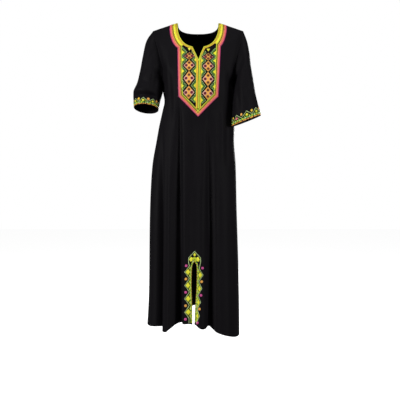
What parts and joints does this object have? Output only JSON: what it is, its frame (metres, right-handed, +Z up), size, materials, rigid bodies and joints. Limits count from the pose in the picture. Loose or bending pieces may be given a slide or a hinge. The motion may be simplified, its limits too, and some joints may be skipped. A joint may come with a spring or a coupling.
{
  "type": "jubba",
  "caption": "Ankle-length black crepe gown with elbow sleeves, a notched scoop neck, an embroidered bib, neck band, cuffs and hem slit, hollow as worn.",
  "frame": {"origin": "middle of the shoulder line, between the two neck ends of the shoulder seams, where the wearer's shoulders carry the gown", "axes": "+Z up, +X towards the wearer's left, -Y towards the front of the gown"},
  "size_m": [0.528, 0.3711, 1.3007],
  "materials": {
    "crepe": "soft black viscose crepe with a faint sheen",
    "neck_stitch": "satin stitch in pink, orange and yellow thread",
    "bib_stitch": "satin stitch in orange, pink, lime and green thread on black",
    "placket_stitch": "gold and lime satin stitch",
    "border_stitch": "green and yellow satin stitch",
    "cuff_stitch": "green, yellow and orange satin stitch"
  },
  "bodies": {
    "root": {"front_panel": "crepe", "back_panel": "crepe", "sleeve_left": "crepe", "sleeve_right": "crepe", "neck_band_left": "neck_stitch", "neck_band_right": "neck_stitch", "neck_band_back": "neck_stitch", "bib": "bib_stitch", "placket": "placket_stitch", "slit_border": "border_stitch", "cuff_band_left": "cuff_stitch", "cuff_band_right": "cuff_stitch"}
  },
  "joints": []
}
